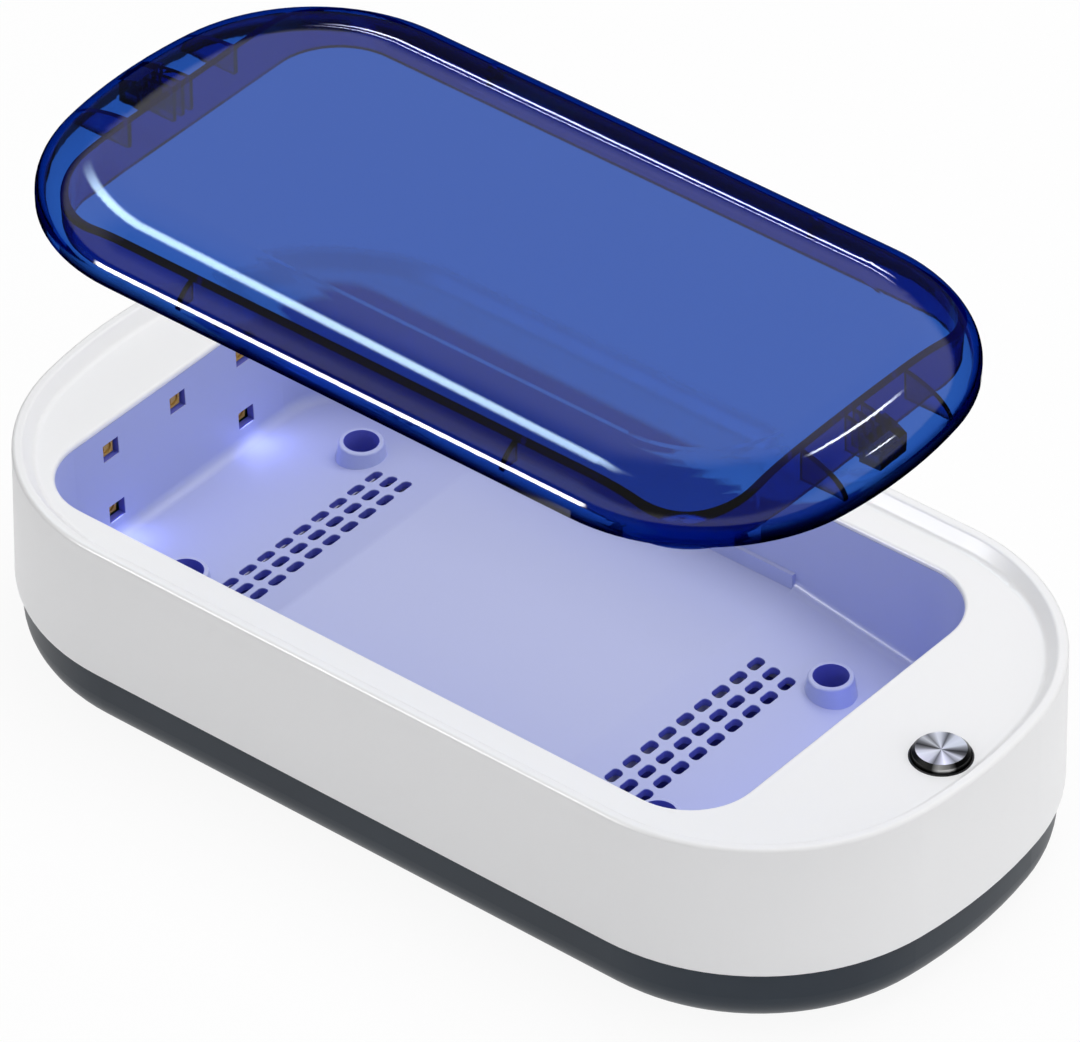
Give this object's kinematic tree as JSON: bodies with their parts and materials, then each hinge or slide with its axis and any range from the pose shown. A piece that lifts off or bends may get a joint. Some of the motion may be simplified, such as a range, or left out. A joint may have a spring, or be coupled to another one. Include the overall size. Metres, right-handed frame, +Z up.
{
  "type": "uv phone sanitizer box",
  "caption": "Oblong UV sanitizer box for a phone: white body with a sunken chamber, round push button and a lift-off clear blue domed lid, shown raised above the box.",
  "frame": {"origin": "on the surface the box stands on, under the middle of its base", "axes": "+X along the box towards the button, +Y across it towards the socket side, +Z up"},
  "size_m": [0.231, 0.1188, 0.1203],
  "materials": {
    "white_abs": "satin moulded ABS",
    "slate_abs": "fine-textured moulded ABS",
    "tray_abs": "satin moulded ABS",
    "blue_polycarbonate": "polished clear tinted polycarbonate",
    "spun_aluminium": "spun face, anodised clear",
    "dark_anodised": "black anodised",
    "black_rubber": "matt",
    "circuit_board": "solder mask",
    "component_black": "moulded epoxy",
    "plated_steel": "nickel plated",
    "enamelled_copper": "enamelled copper wire",
    "ferrite": "sintered, matt",
    "magnet_nickel": "nickel plated",
    "led_ceramic": "ceramic package with a yellow chip",
    "felt": "pressed felt",
    "wire_sleeve": "insulated wire"
  },
  "bodies": {
    "base": {"upper_housing": "white_abs", "uv_tray": "tray_abs", "bottom_cover": "slate_abs", "rubber_feet": "black_rubber", "main_board": "circuit_board", "board_components": "component_black", "usb_socket": "plated_steel", "charging_coil": "enamelled_copper", "coil_shield": "ferrite", "coil_carrier": "white_abs", "button_bezel": "dark_anodised", "button_spring": "plated_steel", "switch_board": "circuit_board", "tact_switch": "component_black", "case_screws": "plated_steel", "tray_screws": "plated_steel", "board_screws": "plated_steel", "button_lead": "wire_sleeve", "coil_leads": "enamelled_copper", "uv_board_left": "circuit_board", "uv_leds_left": "led_ceramic", "fragrance_cup_left": "white_abs", "fragrance_pad_left": "felt", "lid_sensor_left": "circuit_board", "led_lead_left": "wire_sleeve", "uv_board_right": "circuit_board", "uv_leds_right": "led_ceramic", "fragrance_cup_right": "white_abs", "fragrance_pad_right": "felt", "lid_sensor_right": "circuit_board", "led_lead_right": "wire_sleeve"},
    "lid": {"lid_shell": "blue_polycarbonate", "lid_magnet_left": "magnet_nickel", "lid_magnet_right": "magnet_nickel"},
    "button": {"button_cap": "spun_aluminium"}
  },
  "joints": [
    {"name": "lid_lift", "type": "slide", "parent": "base", "child": "lid", "axis": [0, 0, 1], "range_m": [-0.065, 0]},
    {"name": "button_press", "type": "slide", "parent": "base", "child": "button", "axis": [0, 0, 1], "range_m": [-0.0008, 0], "stiffness_N_per_m": 1500, "springref_m": 0.0008, "deforming": ["button_spring"]}
  ]
}
